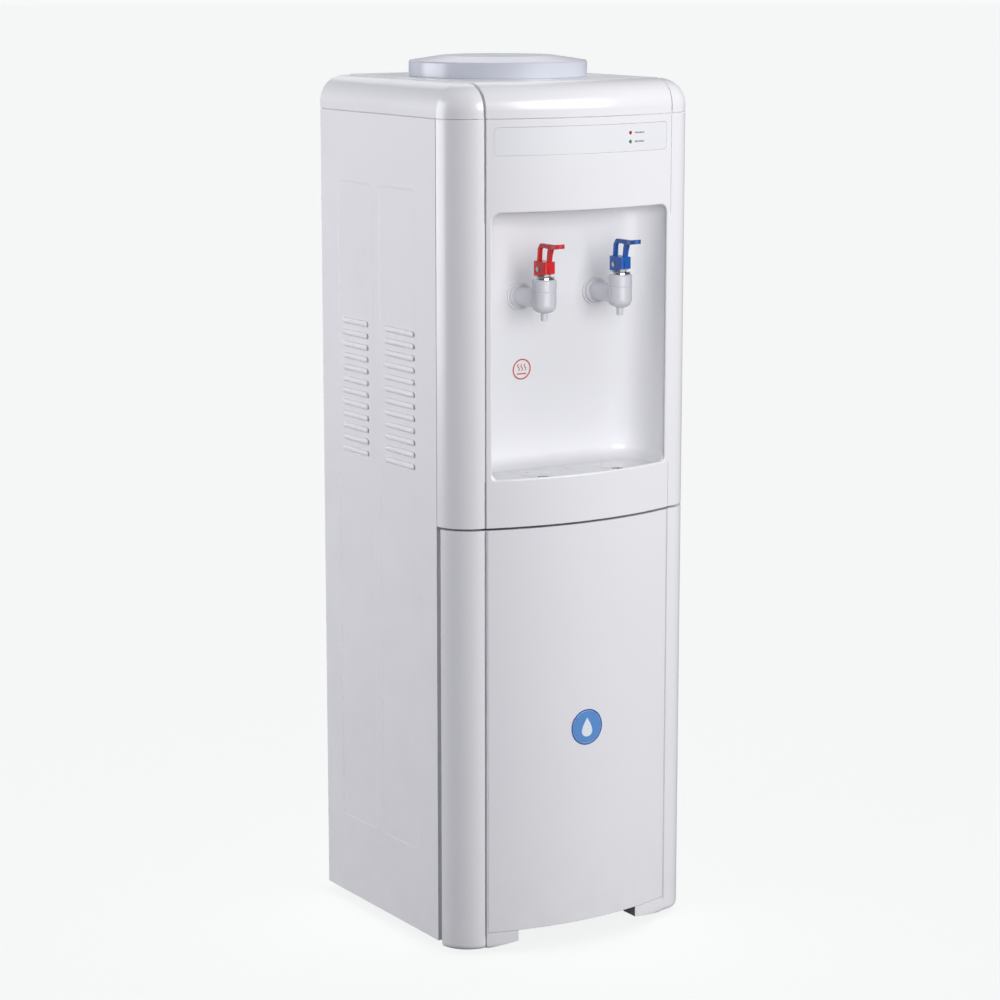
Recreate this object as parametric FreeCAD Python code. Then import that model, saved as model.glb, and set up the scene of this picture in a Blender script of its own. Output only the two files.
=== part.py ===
import FreeCAD, Part
import math
import os

# Floor-standing hot and cold water dispenser for a bottle, with a storage cabinet under the taps.
# Millimetres. +Z is up, the front faces -Y, and the origin is on the floor under the middle of the object.

V = FreeCAD.Vector
X_AXIS = V(1, 0, 0)
Y_AXIS = V(0, 1, 0)
Z_AXIS = V(0, 0, 1)

# ---------------------------------------------------------------- driving dimensions: the case
WIDTH = 310.0            # over the steel side panels
SIDE_X = WIDTH / 2
SEAM_Y = -88.0           # front edge of the steel side panels
REAR_Y = 158.5           # rear edge of the side panels
OUTLET_Y = 167.0         # rear tips of the cable gland and the drain cap
FEET_H = 10.0
SHEET = 1.0              # steel sheet
SKIN = 2.5               # moulded plastic
TOP_SEAM_Z = 902.5       # side panels and fascia end here, the top cover begins
COVER_TOP_Z = 940.0
COVER_SIDE_DROP = 1.2    # the outer bands of the top cover lie a little lower
COVER_ROUND = 28.0
SEAM_GAP = 0.9           # shadow gap at the seams between the outer shells
SEAM_DEPTH = 1.4
LOUVRE_COUNT = 12
LOUVRE_PITCH = 13.05
LOUVRE_TOP_Z = 672.0
LOUVRE_H = 8.0
LOUVRE_OUT = 1.8
LOUVRE_LIP = 1.6         # the flat lower edge of a louvre lies this far under its middle
LOUVRE_COLUMNS = ((-11.5, 64.0), (84.5, 57.0))   # middle in Y and length of each column
STAMP_W = 75.0
STAMP_COLUMNS = (-8.5, 82.5)
STAMP_Z0 = 103.0
STAMP_Z1 = 825.0
STAMP_DEPTH = 0.2
STAMP_SLOPE = 2.0        # width of the sloping border of a stamped field
GLAND_X = 100.0
GLAND_Z = 520.0
SWITCH_X = 100.0
SWITCH_Z = (575.0, 610.0)

# ---------------------------------------------------------------- front outline in plan
PILLAR_R = 37.3          # quarter-round pillar at each front corner
GROOVE_X = SIDE_X - PILLAR_R
PILLAR_FRONT_Y = -126.6
BOW_EDGE_Y = -128.0      # the bowed middle stands a little proud of the pillars
BOW = 20.0               # how far the middle of the front stands out from its edges
BOW_R = (GROOVE_X ** 2 + BOW ** 2) / (2 * BOW)
BOW_CENTRE_Y = BOW_EDGE_Y - BOW + BOW_R
GROOVE_W = 1.3
GROOVE_DEPTH = 1.2
COVER_GROOVE_W = 2.2
COVER_GROOVE_DEPTH = 1.3
COVER_GROOVE_END_Y = 68.0

# ---------------------------------------------------------------- fascia, recess and drip tray
FASCIA_BOTTOM_Z = 472.2
TRIM_LINE_Z = 481.0
OPENING_X = 111.0
OPENING_Z0 = 524.0
OPENING_Z1 = 805.5
OPENING_R_TOP = 10.0
RECESS_X = 112.0
RECESS_Z0 = 522.5
RECESS_Z1 = 807.0
RECESS_WALL_Y = -88.0    # rear wall of the recess at RECESS_WALL_Z
RECESS_WALL_Z = 767.0
RECESS_SLOPE = math.tan(math.radians(4.5))
RECESS_CORNER_R = 34.0
RECESS_EDGE_R = 13.0
LINER_T = 2.0
WELL_X = 96.0
WELL_REAR_Y = -92.0
WELL_Z = 499.0
TRAY_GAP = 0.5
GRID_T = 3.0
DRAIN_HOLE_R = 6.5
LABEL_X = 109.7
LABEL_Z0 = 865.0
LABEL_Z1 = 894.5
LABEL_DEPTH = 0.4
LABEL_GAP = 0.15
LAMP_X = 53.0
LAMP_Z = (884.7, 875.4)
LAMP_R = 1.9

# ---------------------------------------------------------------- taps
TAP_X = 48.5
TAP_Y = -133.0
TAP_ARM_Z = 712.0
TAP_BODY_R = 12.9
NOZZLE_Z = 689.6
VALVE_SEAT_Z = 703.0
BONNET_Z0 = 721.0
BONNET_Z1 = 734.0
BOSS_R = 15.8
BOSS_Y = -86.0           # front face of the recess wall's tap bosses
BOSS_BACK_Y = -80.0
SHANK_R = 8.0
SHANK_END_Y = -56.0
PIVOT_BACK = 3.0         # the lever turns this far behind the middle of the tap
PIVOT_Z = 744.5
LEVER_PIN_R = 1.75
PIN_HEAD_R = 2.7
LEVER_HALF = 6.5         # half width of the lever's block
LEVER_REAR = 8.5         # the block's ends behind and in front of the pivot
LEVER_FRONT = 14.5
STEM_R = 1.6
RUN_FIT = 0.05           # radial clearance of running fits

# ---------------------------------------------------------------- door and cabinet
DOOR_BACK_Y = -95.0
DOOR_TOP_Z = 469.7
DOOR_PANEL_Z0 = 22.9
SKIRT_Z = 5.0
SKIRT_LEFT_X = -83.0     # inner ends of the two foot skirts
SKIRT_RIGHT_X = 70.0
SKIRT_RISE = 6.5         # the skirts' lower edge rises this much towards their inner ends
SKIRT_LEVEL_X = 116.0
HINGE_X = 144.0
HINGE_Y = -104.0
HINGE_PIN_R = 3.0
CABINET_X = 149.0
CABINET_BACK_Y = 148.0
CABINET_Z0 = 14.0
CABINET_Z1 = 466.0
CABINET_MOUTH_X = 130.0
CABINET_MOUTH_Z0 = 28.0
CABINET_MOUTH_Z1 = 450.0
DECK_Z = 473.0
SHELF_Z = 235.0

# ---------------------------------------------------------------- bottle seat and tanks
BOTTLE_Y = 35.6
LID_R = 98.0
LID_SIDE_Z = 956.5
LID_TOP_Z = 962.0
LID_FLAT_R = 63.0
SEAT_R = 86.0
NECK_R = 29.5
COLD_R = 62.0
COLD_Z0 = 712.0
COLD_Z1 = 826.0
HOT_X = -TAP_X
HOT_Y = 45.0
HOT_R = 45.0
HOT_Z0 = 520.0
HOT_Z1 = 650.0
STUB_R = 5.0
DRAIN_Z = 497.0
FAN_Z = 765.0
FAN_HALF = 46.0
FAN_BORE_R = 43.0
COLD_OUT = (TAP_X, 10.0)
FEED = (-20.0, 70.0)
HOT_OUT = (-TAP_X, 7.5)


# ---------------------------------------------------------------- helpers
def box(x0, x1, y0, y1, z0, z1):
    """A box between two opposite corners."""
    return Part.makeBox(x1 - x0, y1 - y0, z1 - z0, V(x0, y0, z0))


def cyl_x(radius, x0, x1, y, z):
    return Part.makeCylinder(radius, x1 - x0, V(x0, y, z), X_AXIS)


def cyl_y(radius, y0, y1, x, z):
    return Part.makeCylinder(radius, y1 - y0, V(x, y0, z), Y_AXIS)


def cyl_z(radius, z0, z1, x, y):
    return Part.makeCylinder(radius, z1 - z0, V(x, y, z0), Z_AXIS)


def fuse(shapes):
    """Union of a list of solids, with the seams inside flat faces removed."""
    return shapes[0].multiFuse(shapes[1:]).removeSplitter()


def prism(points, direction):
    """A closed outline of straight sides, pushed along a direction."""
    wire = Part.makePolygon(points + [points[0]])
    return Part.Face(wire).extrude(direction)


def revolve(profile, x, y):
    """A closed (radius, height) outline turned about the vertical line at x, y."""
    points = [V(x + r, y, z) for r, z in profile]
    face = Part.Face(Part.makePolygon(points + [points[0]]))
    return face.revolve(V(x, y, 0), Z_AXIS, 360)


def rounded_rect(half_w, z0, z1, r_top, r_bottom, y0, y1, x=0.0):
    """A rectangle in the XZ plane with rounded corners, pushed from y0 to y1."""
    solid = box(x - half_w, x + half_w, y0, y1, z0, z1)
    for level, radius in ((z1, r_top), (z0, r_bottom)):
        corners = [e for e in solid.Edges if along_y(e) and abs(e.CenterOfMass.z - level) < 1e-6]
        solid = solid.makeFillet(radius, corners)
    return solid


def along_y(edge):
    box_ = edge.BoundBox
    return box_.XLength < 1e-6 and box_.ZLength < 1e-6


def mirrored(shape):
    """The same shape on the other side of the X = 0 plane."""
    return shape.mirror(V(0, 0, 0), X_AXIS)


def hose(points, r_out, r_in, bend):
    """A hose along straight runs joined by tangent arcs."""
    path = []
    start = points[0]
    for before, corner, after in zip(points, points[1:], points[2:]):
        to_before = (before - corner).normalize()
        to_after = (after - corner).normalize()
        half = to_before.getAngle(to_after) / 2
        reach = bend / math.tan(half)
        first = corner + to_before * reach
        last = corner + to_after * reach
        middle_line = (to_before + to_after).normalize()
        middle = corner + middle_line * (bend / math.sin(half) - bend)
        path.append(Part.LineSegment(start, first).toShape())
        path.append(Part.Arc(first, middle, last).toShape())
        start = last
    path.append(Part.LineSegment(start, points[-1]).toShape())
    wire = Part.Wire(path)
    direction = points[1] - points[0]
    rings = []
    for radius in (r_out, r_in):
        ring = Part.Wire(Part.makeCircle(radius, points[0], direction))
        rings.append(wire.makePipeShell([ring], True, False))
    return rings[0].cut(rings[1])


def save(name, *shapes):
    """Write one node; a group of separate solids goes in as one compound."""
    solids = [solid for shape in shapes for solid in shape.Solids]
    body = solids[0] if len(solids) == 1 else Part.makeCompound(solids)
    if not body.isValid():
        print("NOT VALID:", name)
    body.exportStep(os.path.join("parts", name + ".step"))


# ---------------------------------------------------------------- the front outline
def bow_y(x, inset):
    """Front of the bowed middle at x, moved inwards by inset."""
    return BOW_CENTRE_Y - math.sqrt((BOW_R - inset) ** 2 - x ** 2)


def plan_wire(inset, z, back_y):
    """The front outline at height z: two quarter-round pillars and the bow between them."""
    side = SIDE_X - inset
    arc_y = PILLAR_FRONT_Y + PILLAR_R
    r = PILLAR_R - inset
    r45 = r * math.sqrt(0.5)
    step_x = GROOVE_X - inset
    step_y = bow_y(step_x, inset)
    edges = [Part.LineSegment(V(-side, back_y, z), V(side, back_y, z)).toShape()]
    for sign in (-1, 1):
        rear = V(sign * side, arc_y, z)
        corner = V(sign * GROOVE_X, arc_y - r, z)
        middle = V(sign * (GROOVE_X + r45), arc_y - r45, z)
        foot = V(sign * step_x, arc_y - r, z)
        edges.append(Part.LineSegment(V(sign * side, back_y, z), rear).toShape())
        edges.append(Part.Arc(rear, middle, corner).toShape())
        if inset > 0:
            edges.append(Part.LineSegment(corner, foot).toShape())
        edges.append(Part.LineSegment(foot, V(sign * step_x, step_y, z)).toShape())
    edges.append(Part.Arc(V(-step_x, step_y, z), V(0, bow_y(0, inset), z), V(step_x, step_y, z)).toShape())
    return Part.Wire(Part.__sortEdges__(edges))


def plan_solid(inset, z0, z1, back_y=SEAM_Y):
    """Everything inside the front outline between two heights."""
    return Part.Face(plan_wire(inset, z0, back_y)).extrude(V(0, 0, z1 - z0))


def front_shell(outer_inset, inner_inset, z0, z1):
    """A skin that follows the front outline, open at the back."""
    outer = plan_solid(outer_inset, z0, z1)
    inner = plan_solid(inner_inset, z0 - 1, z1 + 1, SEAM_Y + 5)
    return outer.cut(inner)


def front_grooves(z0, z1):
    """The two upright grooves in the pillars, against the sides of the bowed middle."""
    floor_y = PILLAR_FRONT_Y + GROOVE_DEPTH
    groove = box(GROOVE_X - 0.2, GROOVE_X + GROOVE_W, PILLAR_FRONT_Y - 6, floor_y, z0, z1)
    return [mirrored(groove), groove]


# ---------------------------------------------------------------- base and steel case
def make_base_pan():
    x = SIDE_X - SHEET
    z0 = FEET_H
    outer = box(-x, x, SEAM_Y + SHEET, REAR_Y - 2 * SHEET, z0, z0 + 30)
    wall = 1.2
    inner = box(-x + wall, x - wall, SEAM_Y + SHEET + wall, REAR_Y - 2 * SHEET - wall, z0 + wall, z0 + 31)
    pan = outer.cut(inner)
    low_front = box(-x - 1, x + 1, SEAM_Y, SEAM_Y + 3 * SHEET, z0 + wall, z0 + 31)
    pan = pan.cut(low_front)
    for x, y in feet_places():
        pan = pan.cut(cyl_z(3.2, z0 - 1, z0 + 5, x, y))
    save("base_pan", pan)


def feet_places():
    return [(x, y) for x in (-125.0, 125.0) for y in (-50.0, 130.0)]


def make_feet():
    feet = []
    for x, y in feet_places():
        pad = revolve([(0, 0), (12.5, 0), (14, 1.5), (14, 8), (12, FEET_H), (0, FEET_H)], x, y)
        stud = cyl_z(3.0, FEET_H - 1, FEET_H + 3.5, x, y)
        feet.append(fuse([pad, stud]))
    save("rubber_feet", *feet)


def louvre_hood(y, z, length, grow):
    """A pressed hood on the left side: a blister with round ends."""
    half = length / 2 + grow
    depth = LOUVRE_OUT + grow
    height = LOUVRE_H / 2 + grow
    bar = Part.makeCylinder(height, 2 * (half - height), V(0, -(half - height), 0), Y_AXIS)
    ends = [Part.makeSphere(height, V(0, s * (half - height), 0)) for s in (-1, 1)]
    squash = FreeCAD.Matrix(depth / height, 0, 0, 0, 0, 1, 0, 0, 0, 0, 1, 0, 0, 0, 0, 1)
    hood = fuse([bar] + ends).transformGeometry(squash)
    hood.translate(V(-SIDE_X, y, z))
    return hood


def side_panel():
    """The left panel: a folded sheet with two stamped fields and two columns of pressed louvres."""
    outer_x = -SIDE_X
    inner_x = outer_x + SHEET
    z0 = FEET_H
    skin = box(outer_x, inner_x, SEAM_Y, REAR_Y, z0, TOP_SEAM_Z)
    front_fold = box(outer_x, outer_x + 14, SEAM_Y, SEAM_Y + SHEET, z0, TOP_SEAM_Z)
    rear_fold = box(outer_x, outer_x + 13, REAR_Y - SHEET, REAR_Y, z0, TOP_SEAM_Z)
    stamps = [stamp_hollow(y, outer_x) for y in STAMP_COLUMNS]
    pads = [stamp_field(y, inner_x - 0.2, inner_x + STAMP_DEPTH, STAMP_SLOPE) for y in STAMP_COLUMNS]
    panel = fuse([skin, front_fold, rear_fold] + pads)
    panel = panel.cut(Part.makeCompound(stamps))
    hoods = []
    hollows = []
    slots = []
    for y, length in LOUVRE_COLUMNS:
        for k in range(LOUVRE_COUNT):
            z = LOUVRE_TOP_Z - k * LOUVRE_PITCH
            low = z - LOUVRE_LIP
            above = box(outer_x - 5, inner_x + STAMP_DEPTH, y - 40, y + 40, low, z + 10)
            hoods.append(louvre_hood(y, z, length, 0).common(above))
            hollows.append(louvre_hood(y, z, length, -0.8))
            reach = length / 2 - 5
            slots.append(box(outer_x - 0.4, inner_x + 2, y - reach, y + reach, low, low + 3))
    panel = panel.multiFuse(hoods)
    return panel.cut(Part.makeCompound(hollows)).cut(Part.makeCompound(slots))


def stamp_field(y, x0, x1, grow):
    """A stamped field as a flat plate with rounded corners."""
    half = STAMP_W / 2 + grow
    field = box(x0, x1, y - half, y + half, STAMP_Z0 - grow, STAMP_Z1 + grow)
    corners = [e for e in field.Edges if e.BoundBox.YLength < 1e-6 and e.BoundBox.ZLength < 1e-6]
    return field.makeFillet(9 + grow, corners)


def stamp_hollow(y, outer_x):
    """What a stamped field takes from the sheet: a shallow pan with a sloping border."""
    wires = []
    for x, grow in ((outer_x - STAMP_DEPTH, 2 * STAMP_SLOPE), (outer_x + STAMP_DEPTH, 0)):
        field = stamp_field(y, x, x + 1, grow)
        near = [f for f in field.Faces if f.BoundBox.XMax - x < 1e-6]
        wires.append(near[0].OuterWire)
    return Part.makeLoft(wires, True, True)


def make_side_panels():
    left = side_panel()
    save("left_side_panel", left)
    save("right_side_panel", mirrored(left))


def make_rear_panel():
    half = SIDE_X - 1.2
    inner = REAR_Y - 2 * SHEET
    outer = REAR_Y - SHEET
    panel = box(-half, half, inner, outer, FEET_H + 2, TOP_SEAM_Z)
    cuts = [cyl_y(FAN_BORE_R, inner - 1, outer + 1, 0, FAN_Z)]
    for k in range(9):
        z = 560 + 11 * k
        cuts.append(rounded_rect(45, z, z + 4, 1.9, 1.9, inner - 1, outer + 1, 0))
    cuts.append(cyl_y(9.2, inner - 1, outer + 1, HOT_X, DRAIN_Z))
    cuts.append(cyl_y(8.2, inner - 1, outer + 1, GLAND_X, GLAND_Z))
    for z in SWITCH_Z:
        cuts.append(box(SWITCH_X - 13, SWITCH_X + 13, inner - 1, outer + 1, z - 9, z + 9))
    for x, z in screw_places():
        cuts.append(cyl_y(2.2, inner - 1, outer + 1, x, z))
    save("rear_panel", panel.cut(Part.makeCompound(cuts)))


def screw_places():
    places = [(s * 128.0, z) for s in (-1, 1) for z in (60.0, 330.0, 600.0, 860.0)]
    return places + [(x, 860.0) for x in (-45.0, 45.0)]


def make_case_screws():
    """Pan-head screws through the rear panel."""
    screws = []
    outer = REAR_Y - SHEET
    for x, z in screw_places():
        shank = cyl_y(2.0, outer - 9, outer + 0.5, x, z)
        head = cyl_y(3.8, outer, outer + 2.2, x, z)
        rim = [e for e in head.Edges if abs(e.CenterOfMass.y - outer - 2.2) < 1e-6]
        head = head.makeFillet(1.0, rim)
        cross = [box(x - 2.2, x + 2.2, outer + 1.2, outer + 3, z - 0.5, z + 0.5)]
        cross.append(box(x - 0.5, x + 0.5, outer + 1.2, outer + 3, z - 2.2, z + 2.2))
        screws.append(fuse([head, shank]).cut(fuse(cross)))
    save("case_screws", *screws)


# ---------------------------------------------------------------- front fascia and recess
def make_front_fascia():
    skin = front_shell(0, SKIN, FASCIA_BOTTOM_Z, TOP_SEAM_Z)
    floor = plan_solid(SKIN - 0.5, FASCIA_BOTTOM_Z, FASCIA_BOTTOM_Z + 2)
    skin = fuse([skin, floor])
    skin = skin.cut(Part.makeCompound(rear_seams(FASCIA_BOTTOM_Z - 1, TOP_SEAM_Z + 1)))
    opening = rounded_rect(OPENING_X, OPENING_Z0, OPENING_Z1, OPENING_R_TOP, 4, -160, -100)
    skin = skin.cut(opening)
    skin = round_opening(skin)
    cuts = front_grooves(FASCIA_BOTTOM_Z - 1, OPENING_Z0 - 3)
    cuts += front_grooves(OPENING_Z1 - 10, TOP_SEAM_Z + 1)
    trim = front_shell(-1, 0.8, TRIM_LINE_Z - 0.5, TRIM_LINE_Z + 0.5)
    trim_span = box(-GROOVE_X + 1, GROOVE_X - 1, -160, -100, 470, 490)
    cuts.append(trim.common(trim_span))
    label_field = rounded_rect(LABEL_X, LABEL_Z0, LABEL_Z1, 5, 5, -160, -100)
    cuts.append(front_shell(-1, LABEL_DEPTH, LABEL_Z0 - 1, LABEL_Z1 + 1).common(label_field))
    for z in LAMP_Z:
        cuts.append(cyl_y(LAMP_R + 0.1, -160, -100, LAMP_X, z))
    save("front_fascia", skin.cut(Part.makeCompound(cuts)))


def rear_seams(z0, z1):
    """The shadow gaps where the fascia meets the side panels."""
    seam = box(SIDE_X - SEAM_DEPTH, SIDE_X + 1, SEAM_Y - SEAM_GAP, SEAM_Y + 1, z0, z1)
    return [mirrored(seam), seam]


def round_opening(skin):
    """Soften the front edge of the opening."""
    edges = []
    for edge in skin.Edges:
        b = edge.BoundBox
        near_x = abs(b.XMin) < OPENING_X + 0.5 and abs(b.XMax) < OPENING_X + 0.5
        near_z = b.ZMin > OPENING_Z0 - 1 and b.ZMax < OPENING_Z1 + 1
        middle = edge.valueAt((edge.FirstParameter + edge.LastParameter) / 2)
        on_front = abs(middle.y - bow_y(middle.x, 0)) < 0.05
        if near_x and near_z and on_front:
            edges.append(edge)
    return skin.makeFillet(1.8, edges)


def make_indicator_label():
    gap = LABEL_GAP
    field = rounded_rect(LABEL_X - gap, LABEL_Z0 + gap, LABEL_Z1 - gap, 5 - gap, 5 - gap, -160, -100)
    film = front_shell(0.05, LABEL_DEPTH, LABEL_Z0, LABEL_Z1).common(field)
    holes = [cyl_y(LAMP_R + 0.1, -160, -100, LAMP_X, z) for z in LAMP_Z]
    save("indicator_label", film.cut(Part.makeCompound(holes)))


def make_lamps():
    front = bow_y(LAMP_X, 0) - 0.5
    for name, z in zip(("heating_lamp", "cooling_lamp"), LAMP_Z):
        lens = cyl_y(LAMP_R, front + 0.8, front + 9, LAMP_X, z)
        dome = Part.makeSphere(LAMP_R, V(LAMP_X, front + LAMP_R, z))
        save(name, fuse([lens, dome]))


def recess_wall_y(z):
    return RECESS_WALL_Y - (z - RECESS_WALL_Z) * RECESS_SLOPE


def recess_form(grow):
    """The space of the dispensing recess, with a leaning rear wall and swept corners."""
    half = RECESS_X + grow
    z0 = RECESS_Z0 - grow
    z1 = RECESS_Z1 + grow
    front = -160.0
    corners = [(front, z0), (recess_wall_y(z0) + grow, z0), (recess_wall_y(z1) + grow, z1), (front, z1)]
    points = [V(-half, y, z) for y, z in corners]
    form = prism(points, V(2 * half, 0, 0))
    upright = [e for e in form.Edges if e.BoundBox.ZLength > 100 and e.BoundBox.YMin > -120]
    form = form.makeFillet(RECESS_CORNER_R + grow, upright)
    ends = [e for e in form.Edges if is_recess_edge(e, z0, z1)]
    return form.makeFillet(RECESS_EDGE_R + grow, ends)


def is_recess_edge(edge, z0, z1):
    """Edges around the recess floor and ceiling, but not along the open front."""
    b = edge.BoundBox
    flat = b.ZLength < 1e-6 and (abs(b.ZMin - z0) < 1e-6 or abs(b.ZMin - z1) < 1e-6)
    return flat and b.YMax > -159


def well_solid(x_gap, front_inset, rear_gap, z0, z1):
    """A flat-bottomed space that follows the bow at its front."""
    band = plan_solid(front_inset, z0, z1)
    return band.common(box(-WELL_X + x_gap, WELL_X - x_gap, -160, WELL_REAR_Y - rear_gap, z0, z1))


def make_recess_liner():
    shell = recess_form(LINER_T)
    bosses = [cyl_y(BOSS_R, BOSS_Y, BOSS_BACK_Y, s * TAP_X, TAP_ARM_Z) for s in (-1, 1)]
    well = well_solid(-LINER_T, SKIN, -LINER_T, WELL_Z - LINER_T, RECESS_Z0)
    liner = shell.cut(recess_form(0))
    liner = fuse([liner, well] + bosses)
    liner = liner.cut(well_solid(0, SKIN + LINER_T, 0, WELL_Z, RECESS_Z0 + 1))
    liner = liner.common(plan_solid(SKIN, WELL_Z - 10, RECESS_Z1 + 10, -50))
    bores = [cyl_y(SHANK_R + 0.2, -100, -70, s * TAP_X, TAP_ARM_Z) for s in (-1, 1)]
    save("recess_liner", liner.cut(Part.makeCompound(bores)))


def make_drip_tray():
    """The loose catch tray and the plate with two drain holes that lies in it."""
    inset = SKIN + LINER_T + TRAY_GAP
    z0 = WELL_Z + 0.2
    z1 = RECESS_Z0 - GRID_T - 0.3
    wall = 1.6
    tray = well_solid(TRAY_GAP, inset, TRAY_GAP, z0, z1)
    hollow = well_solid(TRAY_GAP + wall, inset + wall, TRAY_GAP + wall, z0 + wall, z1 + 1)
    tray = tray.cut(hollow)
    rib = box(-0.8, 0.8, -136, WELL_REAR_Y - 2, z0 + 1, z0 + 12)
    save("drip_tray", fuse([tray, rib]))

    plate = well_solid(TRAY_GAP, inset, TRAY_GAP, RECESS_Z0 - GRID_T, RECESS_Z0)
    rim_down = well_solid(TRAY_GAP + wall + 0.4, inset + wall + 0.4, TRAY_GAP + wall + 0.4,
                          RECESS_Z0 - GRID_T - 3, RECESS_Z0 - GRID_T)
    rim_hole = well_solid(TRAY_GAP + 2 * wall + 0.4, inset + 2 * wall + 0.4, TRAY_GAP + 2 * wall + 0.4,
                          RECESS_Z0 - GRID_T - 4, RECESS_Z0 - GRID_T)
    plate = fuse([plate, rim_down.cut(rim_hole)])
    cuts = []
    for s in (-1, 1):
        x = s * TAP_X
        cuts.append(cyl_z(DRAIN_HOLE_R, RECESS_Z0 - 10, RECESS_Z0 + 1, x, TAP_Y + 2))
        cuts.append(cyl_z(DRAIN_HOLE_R + 2, RECESS_Z0 - 3.5, RECESS_Z0 - 1.2, x, TAP_Y + 2))
        cuts.append(revolve([(0, -1.2), (DRAIN_HOLE_R, -1.2), (20, 0), (20, 2), (0, 2)], x, TAP_Y + 20))
        cuts[-1].translate(V(0, 0, RECESS_Z0))
        cuts.append(box(x - 0.6, x + 0.6, TAP_Y + 2, WELL_REAR_Y - 5, RECESS_Z0 - 1, RECESS_Z0 + 1))
    cuts.append(box(-0.6, 0.6, TAP_Y + 2, WELL_REAR_Y - 5, RECESS_Z0 - 0.8, RECESS_Z0 + 1))
    save("drip_grid", plate.cut(Part.makeCompound(cuts)))


# ---------------------------------------------------------------- top cover, bottle seat and lid
def cover_middle(inset, side_inset, z0, back_y):
    """The bowed middle of the top, rounded over at the front."""
    top = COVER_TOP_Z - inset
    half = GROOVE_X - side_inset
    bow = cyl_z(BOW_R - inset, z0, top, 0, BOW_CENTRE_Y)
    middle = bow.common(box(-half, half, -200, back_y, z0, top))
    front_edge = [e for e in middle.Edges if e.BoundBox.ZMin > top - 1e-3 and e.BoundBox.YMax < -100]
    return middle.makeFillet(COVER_ROUND - inset, front_edge)


def cover_band(inset, z0, back_y):
    """The left outer band of the top, with a quarter-round corner, rounded over at the side and front."""
    top = COVER_TOP_Z - inset - COVER_SIDE_DROP
    side = SIDE_X - inset
    band = box(-side, -GROOVE_X, PILLAR_FRONT_Y + inset, back_y, z0, top)
    corner = [e for e in band.Edges if along_z(e) and e.BoundBox.XMax < -side + 1 and e.BoundBox.YMax < 0]
    band = band.makeFillet(PILLAR_R - inset - 0.001, corner)
    return band.makeFillet(COVER_ROUND - inset, [e for e in band.Edges if is_band_edge(e, top, inset)])


def is_band_edge(edge, top, inset):
    b = edge.BoundBox
    on_top = b.ZMin > top - 1e-3
    at_side = abs(b.XMin + SIDE_X - inset) < 1e-3
    return on_top and at_side and b.YMin < REAR_Y - 5


def make_top_cover():
    """A bowed middle between two outer bands, with a rib inside along each step between them."""
    z0 = TOP_SEAM_Z
    inner_y = REAR_Y - SKIN
    middle = cover_middle(0, 0, z0, REAR_Y).cut(cover_middle(SKIN, SKIN, z0 - 1, inner_y))
    band = cover_band(0, z0, REAR_Y).cut(cover_band(SKIN, z0 - 1, inner_y))
    slab = box(-GROOVE_X - COVER_GROOVE_W, -GROOVE_X, -160, COVER_GROOVE_END_Y, z0 - 1, 950)
    band = band.cut(slab.cut(cover_band(COVER_GROOVE_DEPTH, z0 - 2, REAR_Y + 5)))
    cover = fuse([middle, band, mirrored(band)])
    rib_gap = box(-GROOVE_X - 3, GROOVE_X + 3, -96, inner_y, z0 - 1, COVER_TOP_Z - 14)
    cover = cover.cut(rib_gap)
    seam = box(-200, 200, -200, REAR_Y + 1, z0 - 1, z0 + SEAM_GAP)
    core = plan_solid(SEAM_DEPTH, z0 - 2, z0 + 2, REAR_Y - SEAM_DEPTH)
    cover = cover.cut(seam.cut(core))
    cover = cover.cut(cyl_z(SEAT_R + 0.3, z0, 950, 0, BOTTLE_Y))
    save("top_cover", cover)


def make_bottle_seat():
    """The funnel under the lid that holds an upturned bottle, with a spike that opens its cap."""
    r = SEAT_R
    z = COVER_TOP_Z
    t = SKIN
    outline = [(r - t, z + 2.5), (r + 6, z + 2.5), (r + 6, z), (r, z), (r, z - 16), (NECK_R + t, z - 70)]
    outline += [(NECK_R + t, z - 102), (10.2, z - 102), (10.2, z - 98), (NECK_R, z - 98)]
    outline += [(NECK_R, z - 68.5), (r - t, z - 15)]
    save("bottle_seat", revolve(outline, 0, BOTTLE_Y))

    base = z - 98
    spike = [(5, base - 20), (10, base - 20), (10, base), (16, base), (16, base + 2.5), (10, base + 2.5)]
    spike += [(10, base + 52), (2.5, base + 68), (0, base + 68), (0, base + 61), (5, base + 50)]
    probe = revolve(spike, 0, BOTTLE_Y)
    ports = [cyl_x(2.4, -12, 12, BOTTLE_Y, base + h) for h in (34, 44)]
    ports += [cyl_y(2.4, BOTTLE_Y - 12, BOTTLE_Y + 12, 0, base + h) for h in (34, 44)]
    save("water_probe", probe.cut(Part.makeCompound(ports)))


def make_dust_lid():
    z = COVER_TOP_Z
    t = 2.0
    outline = [(0, LID_TOP_Z), (LID_FLAT_R, LID_TOP_Z), (LID_R - 1.2, LID_SIDE_Z + 0.4)]
    outline += [(LID_R, LID_SIDE_Z - 1), (LID_R, z + 0.1), (LID_R - t, z + 0.1), (LID_R - t, LID_SIDE_Z - t)]
    outline += [(LID_FLAT_R, LID_TOP_Z - t), (0, LID_TOP_Z - t)]
    save("dust_lid", revolve(outline, 0, BOTTLE_Y))


# ---------------------------------------------------------------- cabinet and deck
def make_mid_deck():
    half = SIDE_X - 2 * SHEET - 1
    deck = box(-half, half, SEAM_Y + 3, REAR_Y - 3, DECK_Z, DECK_Z + 2)
    lip = box(-half, half, REAR_Y - 5, REAR_Y - 3, DECK_Z + 1, DECK_Z + 12)
    save("mid_deck", fuse([deck, lip]))


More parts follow.
